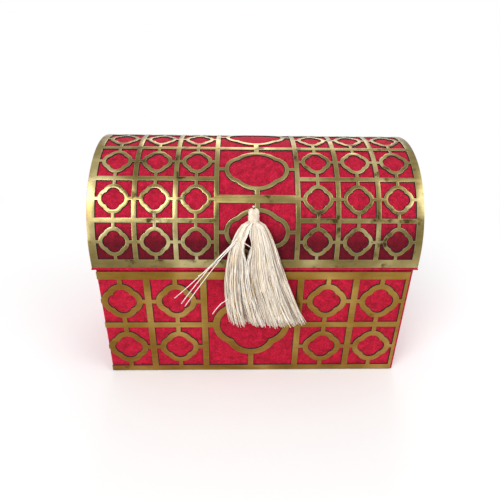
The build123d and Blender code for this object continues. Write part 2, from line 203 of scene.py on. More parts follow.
def grid_faces(rows, columns, closed_rows=False, closed_columns=False):
    """Four-sided faces of a grid of points, joined round where it is closed."""
    starts = (np.arange(rows - (not closed_rows)), np.arange(columns - (not closed_columns)))
    r, c = (v.ravel() for v in np.meshgrid(*starts, indexing="ij"))
    below, beside = (r + 1) % rows, (c + 1) % columns
    corners = [(r, c), (below, c), (below, beside), (r, beside)]
    return np.stack([row * columns + column for row, column in corners], 1)


def pole_grid(around, steps):
    """Turns round an axis and climbs from one pole to the other, as two grids."""
    return np.meshgrid(ring_turns(around), np.linspace(0, pi, steps), indexing="ij")


def ring_turns(count):
    """Evenly spaced turns of a full circle."""
    return np.linspace(0, 2 * pi, count + 1)[:-1]


def thicken(piece, thickness):
    """Gives a surface its thickness towards its inside."""
    solidify = piece.modifiers.new("thickness", "SOLIDIFY")
    solidify.thickness = thickness * MM
    solidify.offset = -1.0


def unit(vectors):
    """The same directions at length 1."""
    return vectors / np.linalg.norm(vectors, axis=-1, keepdims=True)


# Four-lobed rings and the sheets cut with them

def lobes(half_width, half_height, cusps, grow):
    """Circles of the top and side lobe through the tips and the cusps, and the grown shape's cusp."""
    x, y = cusps[0] * half_width, cusps[1] * half_height
    top = (half_height**2 - x**2 - y**2) / (2 * (half_height - y))
    side = (half_width**2 - x**2 - y**2) / (2 * (half_width - x))
    top_radius, side_radius = half_height - top + grow, half_width - side + grow
    gap = np.hypot(side, top)
    along = (top_radius**2 - side_radius**2 + gap**2) / (2 * gap)
    across = np.sqrt(top_radius**2 - along**2)
    crossings = []
    for sign in (1, -1):
        cusp_x = (along * side + sign * across * top) / gap
        cusp_y = (top * gap - along * top + sign * across * side) / gap
        crossings.append((cusp_x, cusp_y))
    return (top, top_radius), (side, side_radius), max(crossings, key=sum)


def quarter_arcs(shape, from_x=0.0, to_y=0.0):
    """Points of a ring's upper right quarter: along the top lobe to the cusp, then down the side lobe."""
    (top, top_radius), (side, side_radius), (x, y) = shape
    first = np.linspace(np.arccos(from_x / top_radius), np.arctan2(y - top, x), LOBE_POINTS)
    second = np.linspace(np.arctan2(y, x - side), np.arcsin(to_y / side_radius), LOBE_POINTS)[1:]
    upper = np.stack([top_radius * np.cos(first), top + top_radius * np.sin(first)], 1)
    lower = np.stack([side + side_radius * np.cos(second), side_radius * np.sin(second)], 1)
    return np.concatenate([upper, lower])


def inside_ring(shape, x, y):
    """Which points lie within the four lobes or the square between their cusps."""
    (top, top_radius), (side, side_radius), (cusp_x, cusp_y) = shape
    x, y = abs(x), abs(y)
    in_top, in_side = np.hypot(x, y - top) < top_radius, np.hypot(x - side, y) < side_radius
    return in_top | in_side | ((x < cusp_x) & (y < cusp_y))


class Cell:
    """One opening of the lattice with its ring and the four links that hold the ring.

    The foil is the half width and half height of the ring's hole. The links are the widths of the level
    pair and of the upright pair.
    """

    def __init__(self, centre, size, foil, cusps, ring, links):
        self.centre, self.half = np.array(centre), np.array(size) / 2
        self.link_high, self.link_wide = links[0] / 2, links[1] / 2
        self.hole = lobes(*foil, cusps, 0.0)
        self.outer = lobes(*foil, cusps, ring)

    def loops(self):
        """The four corner openings round the ring and the hole in it, as closed loops."""
        arcs = quarter_arcs(self.outer, self.link_wide, self.link_high)
        w, h = self.half
        corner = np.concatenate([arcs, [(w, self.link_high), (w, h), (self.link_wide, h)]])
        (top, top_radius), (side, side_radius), _ = self.hole
        quarter = quarter_arcs(self.hole)[:-1]
        turned = quarter[::-1] * (1, -1)
        right = np.concatenate([quarter, [(side + side_radius, 0)], turned[:-1]])
        hole = np.concatenate([right, [(0, -top - top_radius)], right[::-1][:-1] * (-1, 1)])
        return [self.centre + corner * (sx, sy) for sx in (1, -1) for sy in (1, -1)] + [self.centre + hole]

    def open_at(self, x, y):
        """Which points of the sheet this cell cuts away."""
        x, y = x - self.centre[0], y - self.centre[1]
        within = (abs(x) < self.half[0]) & (abs(y) < self.half[1])
        links = (abs(x) < self.link_wide) | (abs(y) < self.link_high)
        return (within & ~links & ~inside_ring(self.outer, x, y)) | inside_ring(self.hole, x, y)


def widened(loop, by):
    """A closed loop with every side moved outwards by a distance, mitred at its corners."""
    before, after = unit(loop - np.roll(loop, 1, 0)), unit(np.roll(loop, -1, 0) - loop)
    x, y = loop.T
    way = np.sign(np.sum(x * np.roll(y, -1) - np.roll(x, -1) * y))
    first, second = (way * np.stack([side[:, 1], -side[:, 0]], 1) for side in (before, after))
    middle = unit(first + second)
    stretch = 1 / np.maximum((middle * first).sum(1), SHARPEST_MITRE)
    return loop + by * middle * stretch[:, None]


def cut_sheet(width_range, height, cells, fold_step):
    """Flat triangles of a sheet with its cells cut out.

    A line across at every fold step lets it bend, and a second line runs round every opening for its rim.
    """
    left, right = width_range
    folds = np.linspace(0, height, max(2, int(height / fold_step)) + 1)
    points, edges = [], []

    def add(loop, closed=True):
        first = len(points)
        points.extend(loop)
        last = len(points)
        edges.extend((n, n + 1) for n in range(first, last - 1))
        if closed:
            edges.append((last - 1, first))

    outline = np.array([(left, 0), (right, 0), (right, height), (left, height)])
    add(outline)
    add(widened(outline, -RIM))
    for fold in folds[1:-1]:
        add([(left, fold), (right, fold)], closed=False)
    for cell in cells:
        for loop in cell.loops():
            add(loop)
            add(widened(loop, RIM))
    places, _, faces, *_ = delaunay_2d_cdt([Vector(p) for p in points], edges, [], 0, MEETING_DISTANCE)
    places, faces = np.array([tuple(p) for p in places]), np.array(faces)
    centres = places[faces].mean(1)
    x, y = centres[:, 0], centres[:, 1]
    keep = (x > left) & (x < right) & (y > 0) & (y < height)
    for cell in cells:
        keep &= ~cell.open_at(x, y)
    corner = places[faces]
    area = np.cross(corner[:, 1] - corner[:, 0], corner[:, 2] - corner[:, 0])
    keep &= abs(area) > SLIVER_AREA
    faces = np.where((area < 0)[:, None], faces[:, ::-1], faces)[keep]
    used, faces = np.unique(faces, return_inverse=True)
    return places[used], faces.reshape(-1, 3)


def card_piece(name, flat, faces, place, body, node, gold):
    """Cut card bent by place(x, s, depth).

    The gold face drops a little at every rim, where its share is 1. The dark burnt walls slant into the
    openings by the taper of the cut, which leaves a thin dark outline: partly the card's own burnt edge and
    partly painted shadow, for the shadow the card casts on the velvet. The back is dark too.
    """
    count = len(flat)
    sides = np.concatenate([faces[:, [0, 1]], faces[:, [1, 2]], faces[:, [2, 0]]])
    codes = sides[:, 0] * count + sides[:, 1]
    rim = sides[~np.isin(codes, sides[:, 1] * count + sides[:, 0])]
    run = unit(flat[rim[:, 1]] - flat[rim[:, 0]])
    outwards = np.zeros_like(flat)
    for end in (0, 1):
        np.add.at(outwards, rim[:, end], np.stack([run[:, 1], -run[:, 0]], 1))
    on_rim = np.isin(np.arange(count), rim)
    outwards[on_rim] = unit(outwards[on_rim])
    low, high = flat.min(0) + RIM / 2, flat.max(0) - RIM / 2
    outwards[((flat < low) | (flat > high)).any(1)] = 0
    tapered = flat + KERF_TAPER * outwards
    walls = np.stack([rim[:, 0], rim[:, 0] + count, rim[:, 1] + count, rim[:, 1]], 1)
    back = faces[:, ::-1] + count
    front_points = place(flat[:, 0], flat[:, 1], RIM_DROP * on_rim)
    points = np.concatenate([front_points, place(tapered[:, 0], tapered[:, 1], CARD)])
    mesh = bpy.data.meshes.new(name)
    mesh.from_pydata((points * MM).tolist(), [], faces.tolist() + back.tolist() + walls.tolist())
    give_share(mesh, np.tile(on_rim, 2))
    mesh.materials.append(gold)
    mesh.materials.append(BURNT_EDGE_AND_PAINTED_SHADOW)
    kinds = np.repeat([0, 1], [len(faces), len(back) + len(walls)]).astype(np.int32)
    mesh.polygons.foreach_set("material_index", kinds)
    piece = finished(mesh, body, CARD_CREASE)
    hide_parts(node)


# Materials

# Numbers of a mix node's colour sockets.
MIX_FIRST, MIX_SECOND, MIX_RESULT = 6, 7, 2

# Noise is in repeats a metre, and the painted shade's heights and depths are in metres.
VELVET_PATCHES, VELVET_GRAIN, VELVET_PILE = 230, 850, 2600
SHADE_HEIGHTS, SHADE_DEPTHS, PAINTED_SHADE_TINT = (0.130, 0.150), (-0.0745, -0.0695), (0.27, 0.14, 0.26)
GOLD_CLOUDS, GOLD_STREAKS, GOLD_DARK_REFLECTIONS, GOLD_DULLING, GOLD_RIPPLES = 24, 300, 75, 110, 55
GOLD_ROUGHNESS = (0.20, 0.42)
THREAD_LAY, THREAD_FIBRES = 420, 2200


def shader(name, **values):
    """New material and its Principled shader, with plain socket values set."""
    material = bpy.data.materials.new(name)
    material.use_nodes = True
    principled = material.node_tree.nodes["Principled BSDF"]
    for key, value in values.items():
        socket = principled.inputs[key.replace("_", " ")]
        socket.default_value = (*value, 1.0) if isinstance(value, tuple) else value
    return material, principled


def linear(red, green, blue):
    """Linear colour of an ordinary 0 to 255 colour."""
    c = np.array([red, green, blue]) / 255
    return tuple(float(v) for v in np.where(c <= 0.04045, c / 12.92, ((c + 0.055) / 1.055) ** 2.4))


def new_nodes(tree, *kinds):
    """New shader nodes of these kinds."""
    return [tree.nodes.new("ShaderNode" + kind) for kind in kinds]


def noise(material, scale, detail, stretch=(1, 1, 1), roughness=0.5):
    """Noise on Object coordinates, scale in repeats a metre."""
    links = material.node_tree.links
    coordinates, mapping, texture = new_nodes(material.node_tree, "TexCoord", "Mapping", "TexNoise")
    links.new(coordinates.outputs["Object"], mapping.inputs["Vector"])
    mapping.inputs["Scale"].default_value = stretch
    links.new(mapping.outputs["Vector"], texture.inputs["Vector"])
    texture.inputs["Scale"].default_value = scale
    texture.inputs["Detail"].default_value = detail
    texture.inputs["Roughness"].default_value = roughness
    return texture.outputs["Fac"]


def ramp(material, value, *stops):
    """Colours at places from 0 to 1 along a value."""
    node = material.node_tree.nodes.new("ShaderNodeValToRGB")
    while len(node.color_ramp.elements) < len(stops):
        node.color_ramp.elements.new(0.5)
    for element, (place, colour) in zip(node.color_ramp.elements, stops):
        element.position = place
        element.color = (*colour, 1.0)
    material.node_tree.links.new(value, node.inputs["Fac"])
    return node.outputs["Color"]


def blend_colours(material, share, first, second, kind="MIX"):
    """Two colours mixed by a share, a number or another value."""
    node = material.node_tree.nodes.new("ShaderNodeMix")
    node.data_type, node.blend_type = "RGBA", kind
    if isinstance(share, (int, float)):
        node.inputs["Factor"].default_value = share
    else:
        material.node_tree.links.new(share, node.inputs["Factor"])
    for socket, colour in ((node.inputs[MIX_FIRST], first), (node.inputs[MIX_SECOND], second)):
        if isinstance(colour, tuple):
            socket.default_value = (*colour, 1.0)
        else:
            material.node_tree.links.new(colour, socket)
    return node.outputs[MIX_RESULT]


def bump(material, principled, height, strength, distance):
    """Raises the surface by a height value, over what is already raised."""
    node = material.node_tree.nodes.new("ShaderNodeBump")
    node.inputs["Strength"].default_value = strength
    node.inputs["Distance"].default_value = distance
    links = material.node_tree.links
    links.new(height, node.inputs["Height"])
    before = principled.inputs["Normal"].links
    if before:
        links.new(before[0].from_socket, node.inputs["Normal"])
    links.new(node.outputs["Normal"], principled.inputs["Normal"])


def place_share(material, axis, low, high):
    """0 below one place along an axis and 1 above another, in metres."""
    links = material.node_tree.links
    coordinates, split, spread = new_nodes(material.node_tree, "TexCoord", "SeparateXYZ", "MapRange")
    links.new(coordinates.outputs["Object"], split.inputs["Vector"])
    links.new(split.outputs[axis], spread.inputs["Value"])
    spread.inputs["From Min"].default_value = low
    spread.inputs["From Max"].default_value = high
    return spread.outputs["Result"]


def own_share(material):
    """The value from 0 to 1 that a piece gives its points."""
    attribute = material.node_tree.nodes.new("ShaderNodeAttribute")
    attribute.attribute_name = "share"
    return attribute.outputs["Fac"]


def grey(level):
    """An even grey as a colour."""
    return (level, level, level)


def velvet_material(name, dark, light, painted_shade_low_front=False):
    """Short crimson pile: cloudy patches, a fine grain, and a soft sheen at its edges.

    Low on the lid's front it is darkened to a dark wine red: painted shade.
    """
    material, principled = shader(name, Roughness=0.85, Sheen_Weight=0.09, Sheen_Roughness=0.4,
                                  Sheen_Tint=linear(255, 80, 110), Specular_IOR_Level=0.2)
    cloudy = noise(material, VELVET_PATCHES, 6, roughness=0.72)
    patches = ramp(material, cloudy, (0.34, dark), (0.64, light))
    fine = noise(material, VELVET_GRAIN, 3, roughness=0.7)
    grain = ramp(material, fine, (0.36, grey(0.62)), (0.62, grey(1.12)))
    colour = blend_colours(material, 1.0, patches, grain, "MULTIPLY")
    # Painted shade: the lid's velvet darkens to wine red low on its front.
    if painted_shade_low_front:
        low = ramp(material, place_share(material, "Z", *SHADE_HEIGHTS), (0.0, PAINTED_SHADE_TINT), (1.0, grey(1.0)))
        front = ramp(material, place_share(material, "Y", *SHADE_DEPTHS), (0.0, grey(1.0)), (1.0, grey(0.0)))
        painted_shade = blend_colours(material, front, grey(1.0), low)
        colour = blend_colours(material, 1.0, colour, painted_shade, "MULTIPLY")
    material.node_tree.links.new(colour, principled.inputs["Base Color"])
    bump(material, principled, noise(material, VELVET_PILE, 2), 0.35, 0.0003)
    bump(material, principled, fine, 0.3, 0.0004)
    return material


def gold_material(name, dull, plain, bright, painted_dark_reflection, painted_reflections_from):
    """Gold mirror film on card: rippled metal, soft clouds, drawn streaks, dark patches of painted
    reflection and paler rims of painted highlight.
    """
    material, principled = shader(name, Metallic=1.0, Specular_IOR_Level=0.5)
    links = material.node_tree.links
    face = ramp(material, noise(material, GOLD_CLOUDS, 3), (0.34, dull), (0.52, plain), (0.72, bright))
    drawn = noise(material, GOLD_STREAKS, 4, stretch=(0.10, 1.0, 1.0))
    streaks = ramp(material, drawn, (0.3, grey(0.84)), (0.7, grey(1.04)))
    face = blend_colours(material, 1.0, face, streaks, "MULTIPLY")
    # Painted reflection: dark patches where the mirror film would reflect a dark room.
    dark_reflection_noise = noise(material, GOLD_DARK_REFLECTIONS, 5, roughness=0.6)
    dark_reflection_share = ramp(material, dark_reflection_noise, (painted_reflections_from, grey(0.0)), (painted_reflections_from + 0.1, grey(1.0)))
    face = blend_colours(material, dark_reflection_share, face, painted_dark_reflection)
    # Painted highlight: the gold is paler along every cut rim, where the film's edges catch the light.
    rim_highlight = ramp(material, own_share(material), (0.35, grey(0.0)), (0.9, grey(0.55)))
    face = blend_colours(material, rim_highlight, face, bright)
    links.new(face, principled.inputs["Base Color"])
    dullness = material.node_tree.nodes.new("ShaderNodeMapRange")
    links.new(noise(material, GOLD_DULLING, 4), dullness.inputs["Value"])
    dullness.inputs["To Min"].default_value, dullness.inputs["To Max"].default_value = GOLD_ROUGHNESS
    links.new(dullness.outputs["Result"], principled.inputs["Roughness"])
    bump(material, principled, noise(material, GOLD_RIPPLES, 2), 0.30, 0.0012)
    return material


def thread_material():
    """Silk threads, each of its own tone: ivory, some of them tan and a few yellow; the darkest tan is
    painted shade.
    """
    material, principled = shader("ivory_threads", Roughness=0.42, Sheen_Weight=0.25, Sheen_Roughness=0.35,
                                  Specular_IOR_Level=0.6)
    # The darkest stop is painted shade, for strands lying in shadow; the other stops are the threads' own
    # tones.
    tones = ramp(material, own_share(material),
                 (0.0, linear(150, 118, 96)), (0.10, linear(226, 208, 184)), (0.55, linear(248, 237, 220)),
                 (0.92, linear(255, 251, 244)), (0.97, linear(222, 184, 116)))
    lay = ramp(material, noise(material, THREAD_LAY, 3, (1, 1, 0.25)), (0.3, grey(0.84)), (0.7, grey(1.04)))
    colour = blend_colours(material, 1.0, tones, lay, "MULTIPLY")
    material.node_tree.links.new(colour, principled.inputs["Base Color"])
    bump(material, principled, noise(material, THREAD_FIBRES, 2), 0.2, 0.0001)
    return material


def plain_material(name, first, second, scale, rough, raised, depth, stretch=(1, 1, 1), **values):
    """Two-tone surface with a fine raised grain."""
    material, principled = shader(name, Roughness=rough, **values)
    colour = ramp(material, noise(material, scale, 4, stretch), (0.35, first), (0.65, second))
    material.node_tree.links.new(colour, principled.inputs["Base Color"])
    bump(material, principled, noise(material, 3 * scale, 3, stretch), raised, depth)
    return material


VELVET_BASE = velvet_material("velvet_base", linear(150, 6, 34), linear(204, 22, 58))
VELVET_LID = velvet_material("velvet_lid", linear(148, 8, 36), linear(200, 24, 60), painted_shade_low_front=True)
# The roll's velvet is a lighter copy of the lid's: painted highlight where its rounded edge catches the
# light.
VELVET_ROLL_PAINTED_HIGHLIGHT = velvet_material("velvet_roll_painted_highlight", linear(186, 8, 40), linear(232, 36, 72))
LINING = plain_material("lining_satin", linear(128, 12, 36), linear(150, 20, 46),
                        scale=900, rough=0.42, raised=0.2, depth=0.0002, stretch=(1, 1, 0.2),
                        Sheen_Weight=0.2)
BOARD_RAW = plain_material("fibreboard", linear(150, 118, 82), linear(176, 144, 104),
                           scale=500, rough=0.9, raised=0.3, depth=0.0003)
BACKING = plain_material("bottom_paper", linear(52, 18, 24), linear(66, 26, 32),
                         scale=700, rough=0.85, raised=0.2, depth=0.0002)
GOLD_FRONT = gold_material("gold_card_front", dull=linear(132, 98, 38), plain=linear(154, 118, 54),
                           bright=linear(184, 150, 84), painted_dark_reflection=linear(112, 82, 34), painted_reflections_from=0.66)
# The lid's gold is a paler, greyer copy of the front's with more dark patches: painted reflection of the
# light its bent film takes.
GOLD_LID_WITH_PAINTED_REFLECTION = gold_material("gold_card_lid_with_painted_reflection", dull=linear(112, 98, 56), plain=linear(146, 130, 82),
                         bright=linear(206, 192, 140), painted_dark_reflection=linear(70, 58, 30), painted_reflections_from=0.56)
# Near-black of the burnt cut edge; on the slanted walls it also serves as painted shadow round every
# opening.
BURNT_EDGE_AND_PAINTED_SHADOW = plain_material("burnt_card_edge_and_painted_shadow", linear(14, 8, 8), linear(30, 16, 12),
                       scale=1400, rough=0.9, raised=0.2, depth=0.0002)
BRASS = plain_material("hinge_brass", linear(186, 150, 78), linear(214, 182, 110),
                       scale=600, rough=0.28, raised=0.15, depth=0.0001, stretch=(0.2, 1, 1),
                       Metallic=1.0)
SILK = plain_material("ivory_silk", linear(214, 198, 176), linear(244, 233, 214),
                      scale=260, rough=0.5, raised=0.1, depth=0.0001, stretch=(1, 1, 0.3),
                      Sheen_Weight=0.3, Sheen_Roughness=0.4)
THREADS = thread_material()

# A node takes the material of the first of these words that its name holds.
NODE_MATERIALS = {
    "board": BOARD_RAW, "lining": LINING, "bottom_cover": BACKING, "hinge": BRASS, "tassel": SILK,
    "lid_rim_velvet": VELVET_LID, "velvet": VELVET_BASE, "fretwork": GOLD_FRONT,
}
for name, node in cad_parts.items():
    kind = next(k for k in NODE_MATERIALS if k in name)
    node.data.materials.clear()
    node.data.materials.append(NODE_MATERIALS[kind])


# Camera, light and ground

# Lengths are in metres, and WORLD_LIGHT is the share of the white world that falls as light.
CAMERA_NEAR, CAMERA_FAR = 0.01, 20.0
WORLD_LIGHT = 0.55
FLOOR_HALF, FLOOR_DROP, FLOOR_PLAIN, FLOOR_WHITE = 6.0, 0.0003, 0.20, 0.55
LIT_MIDDLE = Vector((0, 0, 0.1))


def aim_camera():
    """Camera at its place, looking right by its yaw, down by its pitch and rolled."""
    camera = bpy.data.objects.new("camera", bpy.data.cameras.new("camera"))
    bpy.context.scene.collection.objects.link(camera)
    camera.data.sensor_width = SENSOR_WIDTH
    camera.data.lens = FOCAL_PIXELS / PICTURE_PIXELS * SENSOR_WIDTH
    camera.data.clip_start, camera.data.clip_end = CAMERA_NEAR, CAMERA_FAR
    flat = cos(CAMERA_DOWN)
    ahead = Vector((sin(CAMERA_RIGHT) * flat, cos(CAMERA_RIGHT) * flat, -sin(CAMERA_DOWN)))
    level = Vector((cos(CAMERA_RIGHT), -sin(CAMERA_RIGHT), 0))
    upright = level.cross(ahead)
    right = level * cos(CAMERA_ROLL) + upright * sin(CAMERA_ROLL)
    up = upright * cos(CAMERA_ROLL) - level * sin(CAMERA_ROLL)
    turn = Matrix((right, up, -ahead)).transposed()
    camera.matrix_world = Matrix.Translation(CAMERA_PLACE) @ turn.to_4x4()
    bpy.context.scene.camera = camera


def seen_or_mirrored(tree):
    """1 for what the camera sees, directly or in something shiny or clear, and 0 for light on surfaces."""
    path = tree.nodes.new("ShaderNodeLightPath")
    value = path.outputs["Is Camera Ray"]
    for other in ("Is Glossy Ray", "Is Transmission Ray"):
        most = tree.nodes.new("ShaderNodeMath")
        most.operation = "MAXIMUM"
        tree.links.new(value, most.inputs[0])
        tree.links.new(path.outputs[other], most.inputs[1])
        value = most.outputs[0]
    return value


def light_world():
    """Pale world: white where it is seen or mirrored, and a plain dim grey as light."""
    world = bpy.data.worlds.new("pale_world")
    bpy.context.scene.world = world
    world.use_nodes = True
    tree = world.node_tree
    background = tree.nodes["Background"]
    background.inputs["Color"].default_value = (1, 1, 1, 1)
    strength = tree.nodes.new("ShaderNodeMapRange")
    tree.links.new(seen_or_mirrored(tree), strength.inputs["Value"])
    strength.inputs["To Min"].default_value = WORLD_LIGHT
    strength.inputs["To Max"].default_value = 1.0
    tree.links.new(strength.outputs["Result"], background.inputs["Strength"])


def area_light(name, place, size, watts):
    """Soft square lamp aimed at the trunk's middle."""
    lamp = bpy.data.objects.new(name, bpy.data.lights.new(name, "AREA"))
    bpy.context.scene.collection.objects.link(lamp)
    lamp.data.size, lamp.data.energy = size, watts
    lamp.location = place
    lamp.rotation_euler = (LIT_MIDDLE - Vector(place)).to_track_quat("-Z", "Y").to_euler()


def floor_material():
    """White floor that takes the trunk's shadow near it, and is seen as even white further away."""
    material, principled = shader("pale_floor", Base_Color=(0.95, 0.95, 0.95), Roughness=0.9)
    tree = material.node_tree
    coordinates, distance, spread, share, glow, mixed = new_nodes(
        tree, "TexCoord", "VectorMath", "MapRange", "Math", "Emission", "MixShader")
    distance.operation, share.operation = "LENGTH", "MULTIPLY"
    tree.links.new(coordinates.outputs["Object"], distance.inputs[0])
    tree.links.new(distance.outputs["Value"], spread.inputs["Value"])
    spread.inputs["From Min"].default_value = FLOOR_PLAIN
    spread.inputs["From Max"].default_value = FLOOR_WHITE
    tree.links.new(spread.outputs["Result"], share.inputs[0])
    tree.links.new(seen_or_mirrored(tree), share.inputs[1])
    tree.links.new(share.outputs[0], mixed.inputs["Fac"])
    tree.links.new(principled.outputs[0], mixed.inputs[1])
    tree.links.new(glow.outputs[0], mixed.inputs[2])
    tree.links.new(mixed.outputs[0], tree.nodes["Material Output"].inputs["Surface"])
    return material


def lay_floor():
    """Large flat floor just under the trunk."""
    mesh = bpy.data.meshes.new("floor")
    signs = ((-1, -1), (1, -1), (1, 1), (-1, 1))
    mesh.from_pydata([(x * FLOOR_HALF, y * FLOOR_HALF, -FLOOR_DROP) for x, y in signs], [], [(0, 1, 2, 3)])
    mesh.materials.append(floor_material())
    floor = bpy.data.objects.new("floor", mesh)
    bpy.context.scene.collection.objects.link(floor)


aim_camera()
light_world()
area_light("key_light", (-0.75, -1.05, 1.25), size=0.9, watts=14)
area_light("fill_light", (0.9, -0.5, 0.9), size=0.9, watts=5)
area_light("back_light", (0.1, 1.1, 1.0), size=0.9, watts=6)
area_light("low_light", (-0.95, -1.1, 0.30), size=0.45, watts=2.5)
bpy.context.scene.view_settings.view_transform = "Standard"
lay_floor()


# Velvet wrapped round the base and over the lid

# The sides of x and y on which a rounded rectangle's corners lie, in order.
CORNER_SIGNS = ((1, 1), (-1, 1), (-1, -1), (1, -1))


def base_wrap():
    """Velvet round the four walls and over the rim.

    A rounded rectangle is carried up a profile that rounds the edge and turns in over the boards.
    """
    turns = np.concatenate([np.linspace(n * pi / 2, (n + 1) * pi / 2, CORNER_POINTS) for n in range(4)])
    directions = np.column_stack([np.cos(turns), np.sin(turns)])
    anchors = np.repeat(CORNER_SIGNS, CORNER_POINTS, 0)
    half = np.array([BASE_HALF_WIDTH, BASE_HALF_DEPTH])
    rise = np.linspace(0, pi / 2, ROUND_POINTS)[1:]
    edge = BASE_HEIGHT - EDGE_ROUND
    wall = np.linspace(0, edge, WALL_ROWS)
    inward = np.concatenate([np.zeros(WALL_ROWS), EDGE_ROUND * (1 - np.cos(rise)), [VELVET + BOARD]])
    levels = np.concatenate([wall, edge + EDGE_ROUND * np.sin(rise), [BASE_HEIGHT]])
    points = []
    for depth, level in zip(inward, levels):
        radius = max(EDGE_ROUND - depth, 0.0)
        flat = anchors * (half - depth - radius) + directions * radius
        points.append(np.column_stack([flat, np.full(len(flat), level)]))
    faces = grid_faces(len(points), len(directions), closed_columns=True)[:, ::-1]
    piece = mesh_piece("base_velvet_wrap", np.concatenate(points), faces, "base", VELVET_BASE,
                       VELVET_CREASE)
    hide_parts("base_velvet_front", "base_velvet_back", "base_velvet_left", "base_velvet_right",
                "base_rim_velvet")
    thicken(piece, VELVET)


def dome_outline():
    """Outline of the lid's end from its front lip over the dome to its back lip, outside the velvet."""
    lip = np.linspace(LID_BOTTOM, DOME_Z, LIP_POINTS + 1)[:-1]
    turns = np.linspace(0, pi, DOME_STEPS + 1)
    front = np.column_stack([np.full(LIP_POINTS, DOME_Y - DOME_RADIUS), lip])
    arc = np.column_stack([DOME_Y - DOME_RADIUS * np.cos(turns), DOME_Z + DOME_RADIUS * np.sin(turns)])
    back = np.column_stack([np.full(LIP_POINTS, DOME_Y + DOME_RADIUS), lip[::-1]])
    return np.concatenate([front, arc, back])


def lid_wrap():
    """Velvet over the dome and both ends.

    The end's outline grows from its foot in rings, turns over the edge, crosses the lid, and shrinks again.
    """
    outline = dome_outline()
    foot = np.array([DOME_Y, LID_BOTTOM])
    reach = outline - foot
    size = np.linalg.norm(reach, axis=1, keepdims=True)
    rise = np.linspace(0, pi / 2, ROUND_POINTS)
    rings = size.max() * np.linspace(1, LAST_RING, END_RINGS)
    draw_in = np.concatenate([rings, EDGE_ROUND * (1 - np.sin(rise)), np.zeros(ALONG_ROWS - 1)])
    edge = -LID_HALF_WIDTH + EDGE_ROUND * (1 - np.cos(rise))
    across = np.linspace(-LID_HALF_WIDTH + EDGE_ROUND, 0, ALONG_ROWS)[1:]
    along = np.concatenate([np.full(END_RINGS, -LID_HALF_WIDTH), edge, across])
    along, draw_in = np.concatenate([along, -along[-2::-1]]), np.concatenate([draw_in, draw_in[-2::-1]])
    points = []
    for x, inward in zip(along, draw_in):
        share = 1 - inward / size.max()
        if inward < size.max() * EVEN_BELOW:
            share = np.clip(1 - inward / size, 0, 1)
        flat = foot + reach * share
        points.append(np.column_stack([np.full(len(flat), x), flat]))
    faces = grid_faces(len(points), len(outline))
    piece = mesh_piece("lid_velvet_wrap", np.concatenate(points), faces, "lid", VELVET_LID,
                       VELVET_CREASE)
    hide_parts("lid_velvet_dome", "lid_velvet_left_end", "lid_velvet_right_end")
    thicken(piece, VELVET)


def lid_roll():
    """Padded velvet roll along the lid's lower edge: a small circle carried round a rounded rectangle."""
    corner_turns = ring_turns(4 * CORNER_POINTS).reshape(4, CORNER_POINTS) + pi / (4 * CORNER_POINTS)
    out = np.stack([np.cos(corner_turns), np.sin(corner_turns)], -1)
    half = np.array([LID_HALF_WIDTH, DOME_RADIUS]) + ROLL_OUT - ROLL_RADIUS
    anchors = np.array(CORNER_SIGNS)[:, None] * (half - EDGE_ROUND)
    path = (anchors + out * EDGE_ROUND).reshape(-1, 2) + (0, DOME_Y)
    turn = ring_turns(ROLL_SIDES)
    flat = path[:, None] + ROLL_RADIUS * np.cos(turn)[None, :, None] * out.reshape(-1, 1, 2)
    level = np.broadcast_to(LID_BOTTOM + ROLL_RADIUS + ROLL_RADIUS * np.sin(turn), flat.shape[:2])
    points = np.concatenate([flat, level[..., None]], -1)
    faces = grid_faces(len(path), len(turn), closed_rows=True, closed_columns=True)
    mesh_piece("lid_velvet_roll", points, faces, "lid", VELVET_ROLL_PAINTED_HIGHLIGHT, ROUND_CREASE)


base_wrap()
lid_wrap()
lid_roll()


# Fretwork

def front_cells():
    """Cells of the front sheet, in the trunk's x and the height above the sheet's foot."""
    height = front_high.z - front_low.z
    cell_height = (height - FRONT_BOTTOM_BORDER - FRONT_TOP_BORDER - FRONT_BAR) / FRONT_ROWS
    inner = FRONT_CENTRE_CELL / 2 + FRONT_BAR
    outer = inner + FRONT_CELL + FRONT_BAR
    columns = ((FRONT_CELL, inner + FRONT_CELL / 2), (FRONT_OUTER_CELL, outer + FRONT_OUTER_CELL / 2))
    foil, large_foil = (FRONT_FOIL, FRONT_FOIL), (FRONT_LARGE_FOIL, FRONT_LARGE_FOIL)
    ring = (foil, SMALL_CUSPS, FRONT_RING, (FRONT_LINK, FRONT_LINK))
    large_ring = (large_foil, SMALL_CUSPS, FRONT_LARGE_RING, (FRONT_BAR, FRONT_LARGE_LINK))
    cells = []
    for width, offset in columns:
        for side in (-1, 1):
            for row in range(FRONT_ROWS):
                middle = FRONT_BOTTOM_BORDER + cell_height / 2 + row * (cell_height + FRONT_BAR)
                cells.append(Cell((FRONT_SHIFT + side * offset, middle), (width, cell_height), *ring))
    tall = FRONT_ROWS * cell_height + FRONT_BAR
    centre = (FRONT_SHIFT, FRONT_BOTTOM_BORDER + tall / 2)
    cells.append(Cell(centre, (FRONT_CENTRE_CELL, tall), *large_ring))
    return cells


